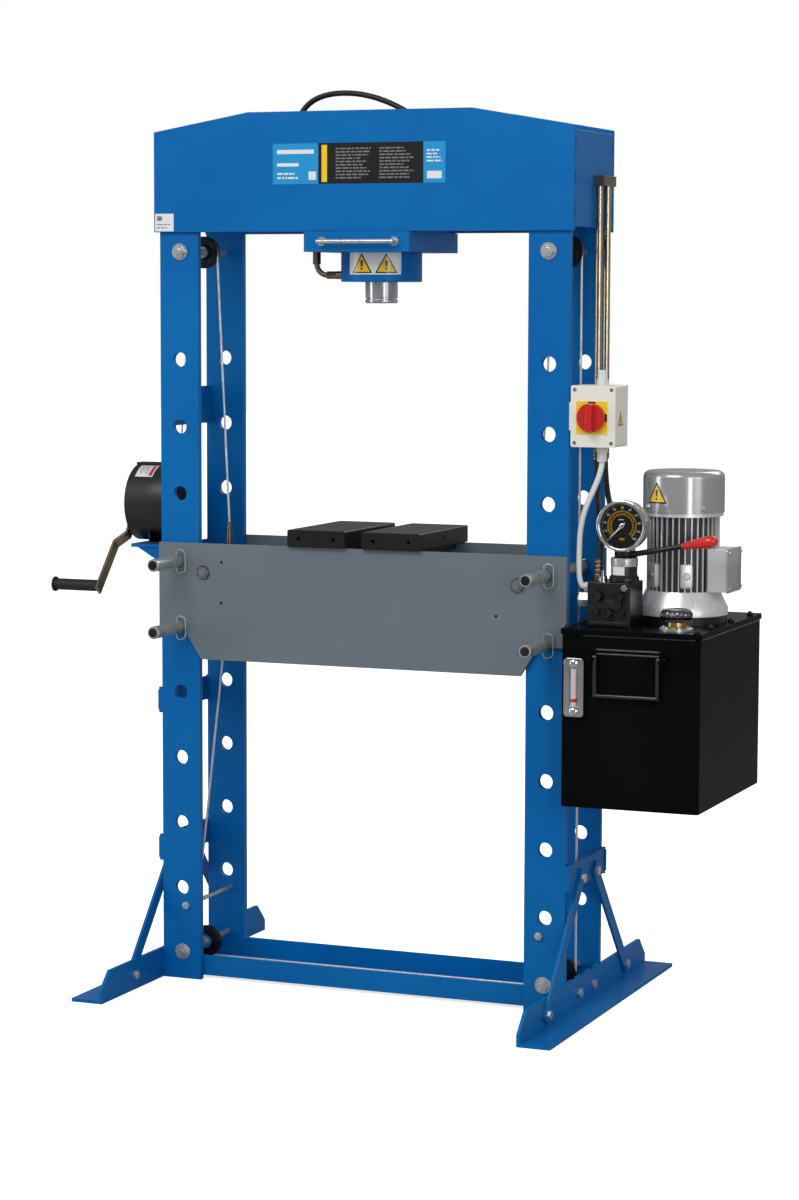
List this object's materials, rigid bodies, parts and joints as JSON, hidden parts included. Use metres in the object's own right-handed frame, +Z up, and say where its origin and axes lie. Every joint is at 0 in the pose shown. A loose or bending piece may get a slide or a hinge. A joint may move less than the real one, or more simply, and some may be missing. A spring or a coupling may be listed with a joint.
{
  "type": "hydraulic shop press",
  "caption": "Floor-standing hydraulic shop press with a motor pump unit, a sliding cylinder and a winch-lifted bed held on pull-out pins.",
  "frame": {"origin": "on the floor, under the middle of the whole machine: midway between the crank grip and the tip of the valve lever, and midway between the front and rear ends of the feet. The middle of the frame is 33.6 mm towards -X", "axes": "+X towards the pump side, +Y towards the back, +Z up"},
  "size_m": [1.5551, 0.856, 2.0062],
  "materials": {
    "frame_blue": "smooth blue gloss paint",
    "bed_grey": "grey enamel paint",
    "black_paint": "black gloss paint",
    "zinc_steel": "bright zinc-plated steel",
    "yellow_zinc": "yellow-passivated zinc plating",
    "chrome_rod": "hard chrome",
    "wire_rope": "bare steel wire rope",
    "black_rubber": "black rubber hose",
    "white_cable": "white plastic sheath",
    "silver_paint": "silver paint on cast aluminium",
    "black_plastic": "black plastic",
    "grey_plastic": "light grey plastic",
    "red_plastic": "red plastic",
    "cast_black": "blackened cast iron",
    "needle_white": "white lacquer"
  },
  "bodies": {
    "frame": {"uprights": "frame_blue", "column_ties": "frame_blue", "base_channel": "frame_blue", "feet": "frame_blue", "braces": "frame_blue", "frame_bolts": "zinc_steel", "head_plates": "frame_blue", "head_end_plates": "frame_blue", "head_rails": "frame_blue", "lift_ropes": "wire_rope", "rope_falls": "wire_rope", "winch_bracket": "frame_blue", "winch_frame": "black_paint", "winch_cover": "black_paint", "riser_tubes": "yellow_zinc", "hose_fittings": "zinc_steel", "cylinder_hoses": "black_rubber", "pump_hoses": "black_rubber", "tank": "black_paint", "tank_lid": "black_paint", "lid_bolts": "zinc_steel", "level_gauge": "chrome_rod", "motor_body": "silver_paint", "motor_cowl": "silver_paint", "pump": "cast_black", "valve_block": "cast_black", "lever_valve": "cast_black", "gauge_body": "black_plastic", "switch_box": "black_plastic", "switch_lid": "grey_plastic", "cable_glands": "grey_plastic", "signal_cable": "white_cable"},
    "top_left_sheave": {"sheave_top_left": "cast_black"},
    "top_right_sheave": {"sheave_top_right": "cast_black"},
    "low_left_sheave": {"sheave_low_left": "cast_black"},
    "low_right_sheave": {"sheave_low_right": "cast_black"},
    "drum": {"winch_drum": "zinc_steel"},
    "crank_shaft": {"winch_pinion": "zinc_steel", "crank": "yellow_zinc"},
    "grip": {"crank_grip": "black_plastic"},
    "bed": {"bed_plates": "bed_grey", "bed_spacers": "bed_grey", "rope_sockets": "zinc_steel"},
    "pin_hl": {"pin_high_left": "zinc_steel"},
    "pin_ll": {"pin_low_left": "zinc_steel"},
    "pin_hr": {"pin_high_right": "zinc_steel"},
    "pin_lr": {"pin_low_right": "zinc_steel"},
    "block_left": {"press_block_left": "black_paint"},
    "block_right": {"press_block_right": "black_paint"},
    "cylinder": {"carriage": "frame_blue", "carriage_handle": "zinc_steel", "cylinder_barrel": "frame_blue", "elbow_tube": "zinc_steel"},
    "piston": {"ram": "chrome_rod"},
    "needle": {"gauge_needle": "needle_white"},
    "lever": {"valve_lever": "zinc_steel"},
    "knob": {"switch_knob": "red_plastic"},
    "fan": {"motor_fan": "zinc_steel"},
    "bail": {"tank_bail": "black_paint"},
    "cap": {"filler_cap": "black_plastic"}
  },
  "joints": [
    {"name": "bed_lift", "type": "slide", "parent": "frame", "child": "bed", "axis": [0, 0, 1], "range_m": [-0.6, 0.3], "deforming": ["rope_falls"]},
    {"name": "carriage_slide", "type": "slide", "parent": "frame", "child": "cylinder", "axis": [1, 0, 0], "range_m": [-0.2, 0.2], "deforming": ["cylinder_hoses"]},
    {"name": "ram_extend", "type": "slide", "parent": "cylinder", "child": "piston", "axis": [0, 0, -1], "range_m": [0, 0.19]},
    {"name": "pin_high_left_pull", "type": "slide", "parent": "bed", "child": "pin_hl", "axis": [0, -1, 0], "range_m": [0, 0.3]},
    {"name": "pin_low_left_pull", "type": "slide", "parent": "bed", "child": "pin_ll", "axis": [0, -1, 0], "range_m": [0, 0.3]},
    {"name": "pin_high_right_pull", "type": "slide", "parent": "bed", "child": "pin_hr", "axis": [0, -1, 0], "range_m": [0, 0.3]},
    {"name": "pin_low_right_pull", "type": "slide", "parent": "bed", "child": "pin_lr", "axis": [0, -1, 0], "range_m": [0, 0.3]},
    {"name": "block_left_slide", "type": "slide", "parent": "bed", "child": "block_left", "axis": [1, 0, 0], "range_m": [-0.16, 0.015]},
    {"name": "block_right_slide", "type": "slide", "parent": "bed", "child": "block_right", "axis": [1, 0, 0], "range_m": [-0.015, 0.17]},
    {"name": "drum_turn", "type": "hinge", "parent": "frame", "child": "drum", "pos_m": [-0.55365, 0, 1.08], "axis": [-1, 0, 0], "continuous": true},
    {"name": "crank_turn", "type": "hinge", "parent": "frame", "child": "crank_shaft", "pos_m": [-0.64365, -0.04015, 1.02266], "axis": [-1, 0, 0], "continuous": true},
    {"name": "grip_spin", "type": "hinge", "parent": "crank_shaft", "child": "grip", "pos_m": [-0.72365, -0.1539, 0.89633], "axis": [1, 0, 0], "continuous": true},
    {"name": "top_left_sheave_turn", "type": "hinge", "parent": "frame", "child": "top_left_sheave", "pos_m": [-0.46965, 0, 1.65], "axis": [0, 1, 0], "continuous": true},
    {"name": "top_right_sheave_turn", "type": "hinge", "parent": "frame", "child": "top_right_sheave", "pos_m": [0.40235, 0, 1.65], "axis": [0, 1, 0], "continuous": true},
    {"name": "low_left_sheave_turn", "type": "hinge", "parent": "frame", "child": "low_left_sheave", "pos_m": [-0.46965, 0, 0.062], "axis": [0, 1, 0], "continuous": true},
    {"name": "low_right_sheave_turn", "type": "hinge", "parent": "frame", "child": "low_right_sheave", "pos_m": [0.40235, 0, 0.062], "axis": [0, 1, 0], "continuous": true},
    {"name": "lever_swing", "type": "hinge", "parent": "frame", "child": "lever", "pos_m": [0.56835, -0.095, 1.006], "axis": [0, 0, 1], "range_deg": [-15, 15]},
    {"name": "needle_turn", "type": "hinge", "parent": "frame", "child": "needle", "pos_m": [0.57235, -0.132, 1.07], "axis": [0, 1, 0], "range_deg": [0, 270]},
    {"name": "knob_turn", "type": "hinge", "parent": "frame", "child": "knob", "pos_m": [0.50435, -0.145, 1.298], "axis": [0, 1, 0], "range_deg": [0, 90]},
    {"name": "motor_turn", "type": "hinge", "parent": "frame", "child": "fan", "pos_m": [0.65935, 0.035, 1], "axis": [0, 0, 1], "continuous": true},
    {"name": "bail_swing", "type": "hinge", "parent": "frame", "child": "bail", "pos_m": [0.61235, -0.212, 0.798], "axis": [-1, 0, 0], "range_deg": [0, 110]},
    {"name": "cap_lift", "type": "slide", "parent": "frame", "child": "cap", "axis": [0, 0, 1], "range_m": [0, 0.06]}
  ],
  "couplings": [
    {"joint": "crank_turn", "follows": "drum_turn", "ratio": -4.8333},
    {"joint": "top_left_sheave_turn", "follows": "drum_turn", "ratio": -0.95},
    {"joint": "low_left_sheave_turn", "follows": "drum_turn", "ratio": 0.95},
    {"joint": "low_right_sheave_turn", "follows": "drum_turn", "ratio": 0.95},
    {"joint": "top_right_sheave_turn", "follows": "drum_turn", "ratio": 0.95}
  ]
}
